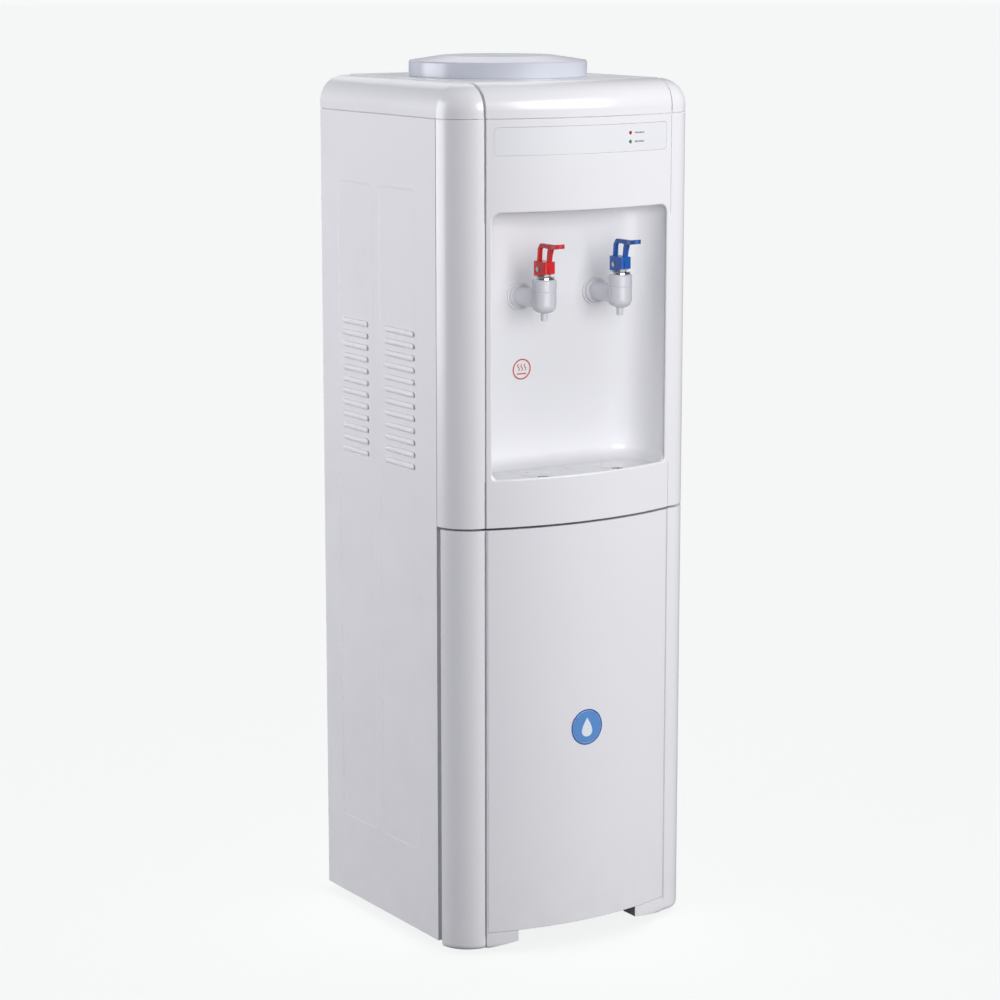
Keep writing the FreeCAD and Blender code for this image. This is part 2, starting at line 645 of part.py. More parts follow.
def make_cabinet_liner():
    t = 2.0
    outer = box(-CABINET_X, CABINET_X, SEAM_Y + SHEET, CABINET_BACK_Y, CABINET_Z0, CABINET_Z1)
    inner = box(-CABINET_X + t, CABINET_X - t, SEAM_Y - 5, CABINET_BACK_Y - t, CABINET_Z0 + t, CABINET_Z1 - t)
    frame = box(-CABINET_X + 8.5, CABINET_X - 8.5, SEAM_Y, SEAM_Y + 2, CABINET_Z0, DOOR_TOP_Z)
    mouth = box(-CABINET_MOUTH_X, CABINET_MOUTH_X, SEAM_Y - 5, SEAM_Y + 5, CABINET_MOUTH_Z0, CABINET_MOUTH_Z1)
    frame_wide = box(-CABINET_X, CABINET_X, SEAM_Y + SHEET, SEAM_Y + 3, CABINET_Z0, CABINET_Z1)
    rests = []
    for s in (-1, 1):
        x0 = min(s * (CABINET_X - t), s * (CABINET_X - t - 5))
        rests.append(box(x0, x0 + 5, -70, CABINET_BACK_Y - t, SHELF_Z - 3, SHELF_Z))
    liner = fuse([outer.cut(inner), fuse([frame, frame_wide]).cut(mouth)] + rests)
    save("cabinet_liner", liner)


def make_cabinet_shelf():
    x = CABINET_X - 2.5
    shelf = box(-x, x, -68, CABINET_BACK_Y - 2.5, SHELF_Z, SHELF_Z + 2)
    lip = box(-x, x, -68, -66, SHELF_Z, SHELF_Z + 8)
    save("cabinet_shelf", fuse([shelf, lip]))


# ---------------------------------------------------------------- door
def make_door_frame():
    """Pillars, foot skirts and the rails behind the middle panel."""
    skin = front_shell(0, SKIN, SKIRT_Z, DOOR_TOP_Z)
    window = box(-GROOVE_X + 1.2, GROOVE_X - 1.2, -160, -100, DOOR_PANEL_Z0, DOOR_TOP_Z + 1)
    skin = skin.cut(window)
    behind = SKIN + 0.1
    rails = front_shell(behind, behind + 2, DOOR_PANEL_Z0 - 4, DOOR_TOP_Z - 1)
    rail_window = box(-95, 95, -160, -100, DOOR_PANEL_Z0 + 14, DOOR_TOP_Z - 22)
    rails = rails.cut(rail_window).common(box(-128, 128, -160, -100, 0, DOOR_TOP_Z))
    bridge = front_shell(SKIN - 0.5, behind + 0.5, DOOR_PANEL_Z0 - 4, DOOR_TOP_Z - 1)
    bridge = bridge.common(box(119, 128, -160, -100, 0, 500))
    caps = []
    core = plan_solid(SKIN - 0.5, 0, DOOR_TOP_Z)
    for z0, z1 in ((SKIRT_Z, SKIRT_Z + 5), (DOOR_TOP_Z - 3, DOOR_TOP_Z)):
        cap = core.common(box(121, 160, -160, DOOR_BACK_Y, z0, z1))
        caps += [cap, mirrored(cap)]
    middle = plan_solid(behind + 0.5, 0, DOOR_TOP_Z)
    for z in (DOOR_PANEL_Z0 - 4, DOOR_TOP_Z - 4):
        caps.append(middle.common(box(-125, 125, -160, DOOR_BACK_Y, z, z + 3)))
    for x in (SKIRT_LEFT_X - SKIN, SKIRT_RIGHT_X):
        end = box(x, x + SKIN, -160, -118, SKIRT_Z, DOOR_PANEL_Z0 - 1)
        caps.append(end.common(plan_solid(1, SKIRT_Z, DOOR_PANEL_Z0)))
    frame = fuse([skin, rails, bridge, mirrored(bridge)] + caps)
    frame = frame.common(rounded_foot())
    frame = frame.cut(foot_gap())
    frame = frame.cut(box(-200, 200, DOOR_BACK_Y - 2, 0, 0, 500).common(box(-153, 153, -200, 0, 8.5, 466)))
    frame = frame.cut(box(-200, 200, DOOR_BACK_Y, 0, 0, 500))
    bores = [cyl_z(HINGE_PIN_R + RUN_FIT, z0, z0 + 8, HINGE_X, HINGE_Y) for z0 in (4, DOOR_TOP_Z - 4)]
    cuts = bores + front_grooves(SKIRT_Z + 14, DOOR_TOP_Z + 1)
    save("door_frame", frame.cut(Part.makeCompound(cuts)))


def rounded_foot():
    """Limits of the door, with its lower outside edge rounded in three steps."""
    levels = ((3.2, 0.0), (1.4, 1.0), (0.4, 2.6), (0.0, 5.0))
    wires = [plan_wire(inset, SKIRT_Z + height, SEAM_Y) for inset, height in levels]
    foot = Part.makeLoft(wires, True, True)
    return fuse([foot, plan_solid(0, SKIRT_Z + levels[-1][1], DOOR_TOP_Z)])


def foot_gap():
    """The space between the foot skirts, whose lower edges rise towards it."""
    edge_z = SKIRT_Z + SKIRT_RISE
    left = V(SKIRT_LEFT_X, -160, edge_z)
    right = V(SKIRT_RIGHT_X, -160, edge_z)
    outline = [V(-SKIRT_LEVEL_X, -160, SKIRT_Z), left, V(left.x, -160, DOOR_PANEL_Z0),
               V(right.x, -160, DOOR_PANEL_Z0), right, V(SKIRT_LEVEL_X, -160, SKIRT_Z),
               V(SKIRT_LEVEL_X, -160, 0), V(-SKIRT_LEVEL_X, -160, 0)]
    return prism(outline, V(0, 60, 0))


def make_door_panel():
    half = GROOVE_X - 1.6
    sheet = front_shell(0, SKIN - 0.1, DOOR_PANEL_Z0 + 0.4, DOOR_TOP_Z)
    sheet = sheet.common(box(-half, half, -160, -100, 0, 500))
    save("door_panel", sheet)


def make_door_back():
    """The flat inner skin, with a shallow rib field, and the soft seal around it."""
    x = 152.4
    z0 = SKIRT_Z + 4
    z1 = DOOR_TOP_Z - 4
    plate = box(-x, x, DOOR_BACK_Y - 2, DOOR_BACK_Y, z0, z1)
    grooves = [box(k * 40 - 6, k * 40 + 6, DOOR_BACK_Y - 0.8, DOOR_BACK_Y + 1, 60, 420) for k in range(-2, 3)]
    save("door_back", plate.cut(Part.makeCompound(grooves)))

    y1 = SEAM_Y - 0.3
    ring = box(-139, 139, DOOR_BACK_Y, y1, 19, 459).cut(box(-133, 133, DOOR_BACK_Y - 1, y1 + 1, 25, 453))
    save("door_gasket", ring)
    save("strike_plate", box(-128, -104, DOOR_BACK_Y, DOOR_BACK_Y + 1.5, 430, 442))


def make_hinges():
    """Brackets above and below the door, kept inside its outline, and the pins that they carry."""
    top_z = DOOR_TOP_Z + 0.4
    low = fuse([box(134, 150, -112, -70, 2.2, 4.2), box(134, 150, -84, -70, 2.2, FEET_H)])
    high = fuse([box(134, 150, -112, -94, top_z, top_z + 1.7), box(134, 140.5, -95, -70, top_z, top_z + 1.7),
                 box(134, 140.5, -84, -70, top_z, DECK_Z)])
    within = plan_solid(4, 0, 480, -60)
    low = low.common(within)
    high = high.common(within)
    brackets = [part.cut(cyl_z(HINGE_PIN_R, 0, 480, HINGE_X, HINGE_Y)) for part in (low, high)]
    save("hinge_brackets", *brackets)
    spans = ((2.2, 14), (461, top_z + 1.7))
    pins = [cyl_z(HINGE_PIN_R, z0, z1, HINGE_X, HINGE_Y) for z0, z1 in spans]
    save("hinge_pins", *pins)
    magnet = box(-127, -105, SEAM_Y - 5, SEAM_Y + 12, 429, 443)
    save("door_catch", magnet)


# ---------------------------------------------------------------- taps
def make_tap(side, s):
    """One press tap: body with its shank, bonnet, lever, valve stem and spring."""
    x = s * TAP_X
    y = TAP_Y
    r = TAP_BODY_R
    nozzle = [(0, NOZZLE_Z), (3.4, NOZZLE_Z), (3.8, NOZZLE_Z + 8.4)]
    cup = [(7.2, NOZZLE_Z + 9.1), (10.2, NOZZLE_Z + 10.8), (12.2, NOZZLE_Z + 13.4), (r, NOZZLE_Z + 16.4)]
    outline = nozzle + cup + [(r, BONNET_Z0 - 0.5), (r - 0.5, BONNET_Z0), (0, BONNET_Z0)]
    body = revolve(outline, x, y)
    arm = cyl_y(10, y, BOSS_Y - 3.5, x, TAP_ARM_Z)
    shank = cyl_y(SHANK_R, y, SHANK_END_Y, x, TAP_ARM_Z)
    arm = fuse([arm, shank]).cut(cyl_z(r + 0.1, BONNET_Z0, 745, x, y))
    body = fuse([body, arm])
    body = body.cut(cyl_z(9.5, VALVE_SEAT_Z, 735, x, y))
    body = body.cut(cyl_z(2.3, NOZZLE_Z - 1, VALVE_SEAT_Z + 1, x, y))
    body = body.cut(cyl_y(5.0, y, SHANK_END_Y + 1, x, TAP_ARM_Z))
    save(side + "_tap_body", body)

    save(side + "_tap_bonnet", make_bonnet(x, y))
    save(side + "_lever", make_lever(x))

    seat = VALVE_SEAT_Z + 0.1
    rod = cyl_z(STEM_R, seat + 1, PIVOT_Z - 6.5, x, y)
    seal = [(0, seat), (5.5, seat), (6.5, seat + 1.4), (6.5, seat + 3.9), (3, seat + 5.4), (0, seat + 5.4)]
    save(side + "_valve_stem", fuse([rod, revolve(seal, x, y)]))
    save(side + "_valve_spring", coil_spring(x, y, seat + 5.7, BONNET_Z0 + 4.3))


def make_bonnet(x, y):
    """The tap's upper part, with a tongue that carries the lever's pin."""
    r = TAP_BODY_R
    cap = [(0, BONNET_Z0), (r - 0.5, BONNET_Z0), (r, BONNET_Z0 + 0.5), (r, BONNET_Z1 - 1.5)]
    cap += [(r - 1.5, BONNET_Z1), (0, BONNET_Z1)]
    pivot_y = y + PIVOT_BACK
    side = [(y - 4.5, BONNET_Z1 - 1), (y + 6.2, BONNET_Z1 - 1), (pivot_y + 4.2, PIVOT_Z)]
    side += [(pivot_y - 3.0, PIVOT_Z + 3.0), (y - 4.5, PIVOT_Z - 3.0)]
    tongue = prism([V(x - 2.9, py, pz) for py, pz in side], V(5.8, 0, 0))
    tip = cyl_x(4.2, x - 2.9, x + 2.9, pivot_y, PIVOT_Z)
    bonnet = fuse([revolve(cap, x, y), tongue, tip])
    bonnet = bonnet.cut(cyl_z(8, BONNET_Z0 - 1, BONNET_Z0 + 5, x, y))
    bonnet = bonnet.cut(cyl_z(STEM_R + RUN_FIT, BONNET_Z0, PIVOT_Z - 2.5, x, y))
    return bonnet.cut(cyl_x(LEVER_PIN_R, x - 10, x + 10, pivot_y, PIVOT_Z))


def coil_spring(x, y, z0, z1):
    """A compression spring around the stem; its ends rest on the seal and under the bonnet."""
    wire_r = 0.5
    coil_r = 4.6
    height = z1 - z0 - 2 * wire_r
    helix = Part.makeHelix(height / 5, height, coil_r)
    ring = Part.Wire(Part.makeCircle(wire_r, V(coil_r, 0, 0), Y_AXIS))
    spring = Part.Wire(helix.Edges).makePipeShell([ring], True, True)
    spring.translate(V(x, y, z0 + wire_r))
    return spring


def make_lever(x):
    """A block astride the bonnet's tongue, a loop above it and a thumb pad that reaches forwards."""
    y = TAP_Y + PIVOT_BACK
    z = PIVOT_Z
    half = LEVER_HALF
    front = y - LEVER_FRONT
    rear = y + LEVER_REAR
    side = [(rear, z - 7), (rear, z + 8.5), (front, z + 8.5), (front, z - 4), (y - 3, z - 7)]
    block = prism([V(x - half, py, pz) for py, pz in side], V(2 * half, 0, 0))
    block = block.makeFillet(1.6, [e for e in block.Edges if along_z(e)])
    slot = box(x - 3.2, x + 3.2, front + 3, rear + 1, z - 8, z + 4.8)
    mark = box(x - 3.0, x - 1.8, front - 1, front + 1.2, z - 8, z + 3.5)
    block = block.cut(slot).cut(mark).cut(cyl_x(LEVER_PIN_R + RUN_FIT, x - 12, x + 12, y, z))
    loop = lever_loop(x, y, z)
    return fuse([block, loop, thumb_pad(x, y, z + 24.4)])


def lever_loop(x, y, z):
    """The open loop on the block, a flat ring with rounded corners seen from the side."""
    low = z + 6
    top = z + 27
    outer = [(y + 8.2, low), (y + 7.0, top - 6), (y + 2.6, top)]
    outer += [(y - 22, top), (y - 18.4, top - 5.5), (y - 16.2, top - 11)]
    outer += [(y - 14.4, low + 1), (y - 14.4, low)]
    inner = [(y + 4.4, low - 1), (y + 3.4, top - 7.2), (y + 1.4, top - 4.4)]
    inner += [(y - 12.4, top - 4.4), (y - 11.2, top - 9), (y - 9.6, low - 1)]
    ring = prism([V(x - 2, py, pz) for py, pz in outer], V(4, 0, 0))
    hole = prism([V(x - 3, py, pz) for py, pz in inner], V(6, 0, 0))
    ring = ring.makeFillet(2.6, [e for e in ring.Edges if along_x(e) and abs(e.CenterOfMass.z - top) < 0.1])
    return ring.cut(hole)


def along_x(edge):
    b = edge.BoundBox
    return b.YLength < 1e-6 and b.ZLength < 1e-6


def along_z(edge):
    b = edge.BoundBox
    return b.XLength < 1e-6 and b.YLength < 1e-6


def thumb_pad(x, y, z):
    """A rounded pad that widens from the loop to its tip and dips a little on the way."""
    side = [(y - 8, z - 1.8), (y - 8, z + 2.6), (y - 20, z + 2.3), (y - 31, z + 3.8), (y - 36, z + 4.4)]
    side += [(y - 37, z + 3.2), (y - 37, z + 1.4), (y - 35.5, z - 0.1), (y - 31, z - 0.9), (y - 20, z - 2.6)]
    pad = prism([V(x - 6, py, pz) for py, pz in side], V(12, 0, 0))
    tip = cyl_z(5.5, z - 10, z + 20, x, y - 31.5)
    plan = [(-2, -8), (2, -8), (2.6, -20), (5.5, -29), (5.5, -31.5), (-5.5, -31.5), (-5.5, -29), (-2.6, -20)]
    neck = prism([V(x + dx, y + dy, z - 10) for dx, dy in plan], V(0, 0, 30))
    return pad.common(fuse([tip, neck]))


def make_tap_hardware():
    rings = []
    flanges = []
    nuts = []
    pins = []
    for s in (-1, 1):
        x = s * TAP_X
        ring = revolve([(7.5, BONNET_Z1), (11, BONNET_Z1), (11, BONNET_Z1 + 2), (10.2, BONNET_Z1 + 2.8),
                        (7.5, BONNET_Z1 + 2.8)], x, TAP_Y)
        rings.append(ring)
        flange = cyl_y(14.0, BOSS_Y - 3.5, BOSS_Y, x, TAP_ARM_Z)
        rim = [e for e in flange.Edges if abs(e.CenterOfMass.y - BOSS_Y + 3.5) < 1e-6]
        flange = flange.makeFillet(1.4, rim).cut(cyl_y(SHANK_R + 0.1, -100, -70, x, TAP_ARM_Z))
        flanges.append(flange)
        hexagon = []
        for k in range(6):
            a = math.radians(60 * k)
            hexagon.append(V(x + 13 * math.cos(a), BOSS_BACK_Y, TAP_ARM_Z + 13 * math.sin(a)))
        nuts.append(prism(hexagon, V(0, 6, 0)).cut(cyl_y(SHANK_R + 0.1, -90, -70, x, TAP_ARM_Z)))
        pins.append(lever_pin(x))
    save("tap_rings", *rings)
    save("tap_flanges", *flanges)
    save("tap_nuts", *nuts)
    save("lever_pins", *pins)


# ---------------------------------------------------------------- tanks and hoses
def lever_pin(x):
    """The pin that a lever turns on, riveted over at both ends."""
    y = TAP_Y + PIVOT_BACK
    near = LEVER_HALF + 0.1
    far = LEVER_HALF + 0.8
    shank = cyl_x(LEVER_PIN_R, x - near - 0.1, x + near + 0.1, y, PIVOT_Z)
    left_head = cyl_x(PIN_HEAD_R, x - far, x - near, y, PIVOT_Z)
    right_head = cyl_x(PIN_HEAD_R, x + near, x + far, y, PIVOT_Z)
    return fuse([shank, left_head, right_head])


def make_cold_tank():
    t = 1.0
    tank = cyl_z(COLD_R, COLD_Z0, COLD_Z1, 0, BOTTLE_Y)
    stubs = []
    holes = [cyl_z(10.5, COLD_Z1 - 5, COLD_Z1 + 1, 0, BOTTLE_Y)]
    for x, y in (COLD_OUT, FEED):
        stubs.append(cyl_z(STUB_R, 690, COLD_Z0 + 0.5, x, y))
        holes.append(cyl_z(STUB_R - 1, 689, COLD_Z0 + 5, x, y))
    inner = cyl_z(COLD_R - t, COLD_Z0 + t, COLD_Z1 - t, 0, BOTTLE_Y)
    tank = fuse([tank] + stubs).cut(inner)
    save("cold_tank", tank.cut(Part.makeCompound(holes)))

    gap = 0.3
    jacket = cyl_z(78, 700, COLD_Z1 + 12, 0, BOTTLE_Y)
    cuts = [cyl_z(COLD_R + gap, COLD_Z0 - gap, COLD_Z1 + gap, 0, BOTTLE_Y)]
    cuts.append(cyl_z(NECK_R + 4, COLD_Z1 - 1, COLD_Z1 + 20, 0, BOTTLE_Y))
    for x, y in (COLD_OUT, FEED):
        cuts.append(cyl_z(STUB_R + 3, 699, COLD_Z0 + 1, x, y))
    cuts.append(box(-20.5, 20.5, 90, 130, FAN_Z - 20.5, FAN_Z + 20.5))
    save("cold_tank_jacket", jacket.cut(Part.makeCompound(cuts)))


def make_hot_tank():
    t = 1.0
    tank = cyl_z(HOT_R, HOT_Z0, HOT_Z1, HOT_X, HOT_Y)
    stubs = []
    holes = []
    for x, y in (HOT_OUT, FEED):
        stubs.append(cyl_z(STUB_R, HOT_Z1 - 0.5, HOT_Z1 + 15, x, y))
        holes.append(cyl_z(STUB_R - 1, HOT_Z1 - 5, HOT_Z1 + 16, x, y))
    stubs.append(cyl_z(STUB_R, HOT_Z0 - 12, HOT_Z0 + 0.5, HOT_X, HOT_Y))
    holes.append(cyl_z(STUB_R - 1, HOT_Z0 - 13, HOT_Z0 + 5, HOT_X, HOT_Y))
    skirt = cyl_z(38, DECK_Z + 2, HOT_Z0 + 0.5, HOT_X, HOT_Y)
    skirt = skirt.cut(cyl_z(36.8, DECK_Z, HOT_Z0 + 1, HOT_X, HOT_Y))
    skirt = skirt.cut(box(HOT_X - 12, HOT_X + 12, HOT_Y, HOT_Y + 50, DECK_Z, DRAIN_Z + 12))
    inner = cyl_z(HOT_R - t, HOT_Z0 + t, HOT_Z1 - t, HOT_X, HOT_Y)
    tank = fuse([tank, skirt] + stubs).cut(inner)
    save("hot_tank", tank.cut(Part.makeCompound(holes)))

    band = cyl_z(HOT_R + 3.5, 560, 600, HOT_X, HOT_Y).cut(cyl_z(HOT_R + 0.1, 559, 601, HOT_X, HOT_Y))
    clamp = box(HOT_X + HOT_R + 1, HOT_X + HOT_R + 12, HOT_Y - 8, HOT_Y + 8, 566, 594)
    save("heater_band", fuse([band, clamp.cut(cyl_z(HOT_R + 0.1, 559, 601, HOT_X, HOT_Y))]))

    buttons = []
    for dx in (-28.0, -4.0):
        can = cyl_z(8, HOT_Z1, HOT_Z1 + 6, HOT_X + dx, HOT_Y + 10)
        cap = cyl_z(6.5, HOT_Z1 + 5, HOT_Z1 + 11, HOT_X + dx, HOT_Y + 10)
        buttons.append(fuse([can, cap]))
    save("thermostats", *buttons)


def make_hoses():
    r_out = STUB_R + 2
    r_in = STUB_R + 0.05
    low = 672.0
    end_y = SHANK_END_Y + 0.05
    turn_y = end_y + 17
    cold = [V(TAP_X, end_y, TAP_ARM_Z), V(TAP_X, turn_y, TAP_ARM_Z), V(TAP_X, turn_y, low)]
    cold += [V(COLD_OUT[0], COLD_OUT[1], low), V(COLD_OUT[0], COLD_OUT[1], 690)]
    hot = [V(-TAP_X, end_y, TAP_ARM_Z), V(-TAP_X, turn_y, TAP_ARM_Z), V(-TAP_X, turn_y, 690)]
    hot += [V(HOT_OUT[0], HOT_OUT[1], 690), V(HOT_OUT[0], HOT_OUT[1], HOT_Z1 + 3)]
    drain = [V(HOT_X, HOT_Y, HOT_Z0 - 4), V(HOT_X, HOT_Y, DRAIN_Z), V(HOT_X, 140, DRAIN_Z)]
    feed = cyl_z(r_out, 655, 699, *FEED).cut(cyl_z(r_in, 650, 700, *FEED))
    hoses = [hose(route, r_out, r_in, 8.0) for route in (cold, hot, drain)]
    save("water_hoses", feed, *hoses)


# ---------------------------------------------------------------- cooling and electrics
def make_cooling():
    block = box(-20, 20, 90, 116, FAN_Z - 20, FAN_Z + 20).cut(cyl_z(COLD_R + 0.1, 700, 840, 0, BOTTLE_Y))
    wafer = box(-20, 20, 115.5, 119, FAN_Z - 20, FAN_Z + 20)
    save("cooling_module", fuse([block, wafer]))

    sink = [box(-45, 45, 119, 123, FAN_Z - 45, FAN_Z + 45)]
    for k in range(19):
        x = -45 + 4.9 * k
        sink.append(box(x, x + 1.6, 122, 137, FAN_Z - 45, FAN_Z + 45))
    save("heat_sink", fuse(sink))

    frame = box(-FAN_HALF, FAN_HALF, 138, 154, FAN_Z - FAN_HALF, FAN_Z + FAN_HALF)
    frame = frame.makeFillet(5, [e for e in frame.Edges if along_y(e)])
    frame = frame.cut(cyl_y(FAN_BORE_R, 130, 160, 0, FAN_Z))
    hub = cyl_y(15, 151.5, 154, 0, FAN_Z)
    pin = cyl_y(2.0, 140, 152, 0, FAN_Z)
    struts = [box(-FAN_BORE_R - 1, FAN_BORE_R + 1, 152, 154, FAN_Z - 2, FAN_Z + 2)]
    struts.append(box(-2, 2, 152, 154, FAN_Z - FAN_BORE_R - 1, FAN_Z + FAN_BORE_R + 1))
    save("fan_frame", fuse([frame, hub, pin] + struts))

    rotor = [cyl_y(14, 141, 150.8, 0, FAN_Z)]
    for k in range(7):
        blade = box(12, 41, -0.8, 0.8, -5.5, 5.5)
        blade.rotate(V(0, 0, 0), X_AXIS, 38)
        blade = tip_blade(blade)
        blade.rotate(V(0, 0, 0), Y_AXIS, k * 360 / 7)
        blade.translate(V(0, 146, FAN_Z))
        rotor.append(blade)
    rotor = fuse(rotor).cut(cyl_y(2.0 + RUN_FIT, 130, 160, 0, FAN_Z))
    save("fan_rotor", rotor)

    guard = []
    for r in (8.0, 18.0, 28.0, 38.0, 48.0):
        ring = Part.makeTorus(r, 1.1, V(0, REAR_Y + 1.2, FAN_Z), Y_AXIS)
        guard.append(ring)
    for k in range(4):
        spoke = Part.makeCylinder(1.1, 100, V(-50, 0, 0), X_AXIS)
        spoke.rotate(V(0, 0, 0), Y_AXIS, 45 * k)
        spoke.translate(V(0, REAR_Y + 0.2, FAN_Z))
        guard.append(spoke)
    save("fan_guard", fuse(guard))


def tip_blade(blade):
    """Trim the blade so that it stays inside the hub's thickness."""
    return blade.common(box(0, 41, -4.8, 4.8, -9, 9))


def make_electrics():
    x0, x1 = 45.0, 135.0
    y0, y1 = 30.0, 130.0
    z = DECK_Z + 2
    board = [box(x0, x1, y0, y1, z + 6, z + 7.6)]
    board += [cyl_z(3, z, z + 6.5, x, y) for x in (x0 + 6, x1 - 6) for y in (y0 + 6, y1 - 6)]
    board.append(box(x0 + 8, x0 + 42, y0 + 40, y0 + 78, z + 7, z + 36))
    board.append(box(x0 + 52, x0 + 72, y0 + 14, y0 + 30, z + 7, z + 23))
    board += [cyl_z(6, z + 7, z + 27, x0 + 60 + 15 * k, y0 + 50) for k in range(2)]
    board.append(box(x0 + 52, x0 + 82, y0 + 72, y0 + 86, z + 7, z + 17))
    save("power_board", fuse(board))

    outer = REAR_Y - SHEET
    frames = []
    for name, zs in zip(("cool_rocker", "heat_rocker"), SWITCH_Z):
        bezel = box(SWITCH_X - 15, SWITCH_X + 15, outer, outer + 2, zs - 11, zs + 11)
        bezel = bezel.makeFillet(2, [e for e in bezel.Edges if along_y(e)])
        case = box(SWITCH_X - 12.8, SWITCH_X + 12.8, outer - 18, outer + 1, zs - 8.8, zs + 8.8)
        hole = box(SWITCH_X - 11, SWITCH_X + 11, outer - 10, outer + 3, zs - 7.5, zs + 7.5)
        pins = [cyl_x(1.5, SWITCH_X + dx, SWITCH_X + dx + 3, outer - 3, zs) for dx in (-12, 9)]
        frames.append(fuse([fuse([bezel, case]).cut(hole)] + pins))
        save(name, rocker(zs, outer))
    save("switch_frames", *frames)

    flange = cyl_y(11, outer, outer + 2.5, GLAND_X, GLAND_Z)
    nose = Part.makeCone(8, 6.2, OUTLET_Y - outer - 2.5, V(GLAND_X, outer + 2.5, GLAND_Z), Y_AXIS)
    barrel = cyl_y(8, outer - 8, outer + 1, GLAND_X, GLAND_Z)
    gland = fuse([flange, nose, barrel]).cut(cyl_y(4, 100, 200, GLAND_X, GLAND_Z))
    save("cable_gland", gland)


def rocker(zs, outer):
    """A rocker key, drawn tilted with its lower half pressed in."""
    pivot_y = outer - 3
    outline = [(pivot_y - 4, -5.5), (pivot_y + 5.6, -6.6), (pivot_y + 4.4, 0)]
    outline += [(pivot_y + 5.6, 6.6), (pivot_y - 4, 5.5)]
    key = prism([V(SWITCH_X - 10.6, y, zs + z) for y, z in outline], V(21.2, 0, 0))
    for x in (SWITCH_X - 10.7, SWITCH_X + 8.9):
        key = key.cut(cyl_x(1.5 + RUN_FIT, x, x + 1.8, pivot_y, zs))
    key.rotate(V(0, pivot_y, zs), X_AXIS, -7)
    return key


def make_drain():
    outer = REAR_Y - SHEET
    x = HOT_X
    body = cyl_y(9, outer - 6, outer + 1, x, DRAIN_Z)
    collar = cyl_y(12, outer, outer + 1.5, x, DRAIN_Z)
    nose = cyl_y(7, outer, outer + 7, x, DRAIN_Z)
    barb = cyl_y(STUB_R, 132, outer, x, DRAIN_Z)
    spigot = fuse([body, collar, nose, barb]).cut(cyl_y(3.5, 120, 200, x, DRAIN_Z))
    save("drain_spigot", spigot)

    cap = cyl_y(10.5, outer + 1.8, OUTLET_Y, x, DRAIN_Z)
    cap = cap.makeFillet(1.2, [e for e in cap.Edges if abs(e.CenterOfMass.y - OUTLET_Y) < 1e-6])
    cap = cap.cut(cyl_y(7.3, outer + 1, outer + 7.3, x, DRAIN_Z))
    ribs = []
    for k in range(12):
        a = math.radians(30 * k)
        ribs.append(cyl_y(0.9, outer + 1, OUTLET_Y - 2, x + 10.7 * math.cos(a), DRAIN_Z + 10.7 * math.sin(a)))
    save("drain_cap", cap.cut(Part.makeCompound(ribs)))


# ---------------------------------------------------------------- build
os.makedirs("parts", exist_ok=True)
make_base_pan()
make_feet()
make_side_panels()
make_rear_panel()
make_case_screws()
make_front_fascia()
make_indicator_label()
make_lamps()
make_recess_liner()
make_drip_tray()
make_top_cover()
make_bottle_seat()
make_dust_lid()
make_mid_deck()
make_cabinet_liner()
make_cabinet_shelf()
make_door_frame()
make_door_panel()
make_door_back()
make_hinges()
make_tap("hot", -1)
make_tap("cold", 1)
make_tap_hardware()
make_cold_tank()
make_hot_tank()
make_hoses()
make_cooling()
make_electrics()
make_drain()
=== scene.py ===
import math

import bpy
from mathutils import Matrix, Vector


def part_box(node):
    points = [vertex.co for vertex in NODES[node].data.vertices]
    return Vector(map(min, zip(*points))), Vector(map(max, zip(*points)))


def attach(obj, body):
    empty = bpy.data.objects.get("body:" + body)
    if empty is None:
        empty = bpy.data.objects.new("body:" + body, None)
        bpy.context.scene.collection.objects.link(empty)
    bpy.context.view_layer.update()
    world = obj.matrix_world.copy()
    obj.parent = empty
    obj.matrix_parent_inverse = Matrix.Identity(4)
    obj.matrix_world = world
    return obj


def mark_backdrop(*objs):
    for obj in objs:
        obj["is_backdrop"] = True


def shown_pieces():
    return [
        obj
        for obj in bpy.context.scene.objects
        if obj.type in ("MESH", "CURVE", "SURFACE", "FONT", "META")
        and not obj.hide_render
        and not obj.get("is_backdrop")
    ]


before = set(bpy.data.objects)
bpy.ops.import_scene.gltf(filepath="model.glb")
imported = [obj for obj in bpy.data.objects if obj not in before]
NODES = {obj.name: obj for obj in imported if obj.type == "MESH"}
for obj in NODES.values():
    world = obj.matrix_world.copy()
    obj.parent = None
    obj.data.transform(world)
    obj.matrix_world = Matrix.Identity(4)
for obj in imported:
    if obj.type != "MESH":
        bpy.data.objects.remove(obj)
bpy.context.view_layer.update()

# Looks for the bottled-water dispenser. Metres, +Z up, the front faces -Y, the same frame as the CAD.

# ---------------------------------------------------------------- camera
CAMERA_PLACE = (-1.7024, -2.6630, 1.0709)
CAMERA_TILT = math.radians(79.25)        # 10.75 degrees below level
CAMERA_TURN = math.radians(-32.288)      # from the left of the front
CAMERA_LENS = 103.554                    # on a 36 mm sensor


def make_camera():
    data = bpy.data.cameras.new("camera")
    data.lens = CAMERA_LENS
    data.sensor_width = 36.0
    data.clip_end = 400.0
    camera = bpy.data.objects.new("camera", data)
    camera.location = CAMERA_PLACE
    camera.rotation_euler = (CAMERA_TILT, 0.0, CAMERA_TURN)
    bpy.context.scene.collection.objects.link(camera)
    bpy.context.scene.camera = camera


# ---------------------------------------------------------------- node helpers
def add_node(tree, kind, **settings):
    made = tree.nodes.new(kind)
    for key, value in settings.items():
        setattr(made, key, value)
    return made


def object_point(tree, stretch=(1.0, 1.0, 1.0)):
    """Position on the piece in metres, squeezed by stretch along each axis."""
    coords = add_node(tree, "ShaderNodeTexCoord")
    mapping = add_node(tree, "ShaderNodeMapping")
    mapping.inputs["Scale"].default_value = stretch
    tree.links.new(coords.outputs["Object"], mapping.inputs["Vector"])
    return mapping.outputs["Vector"]


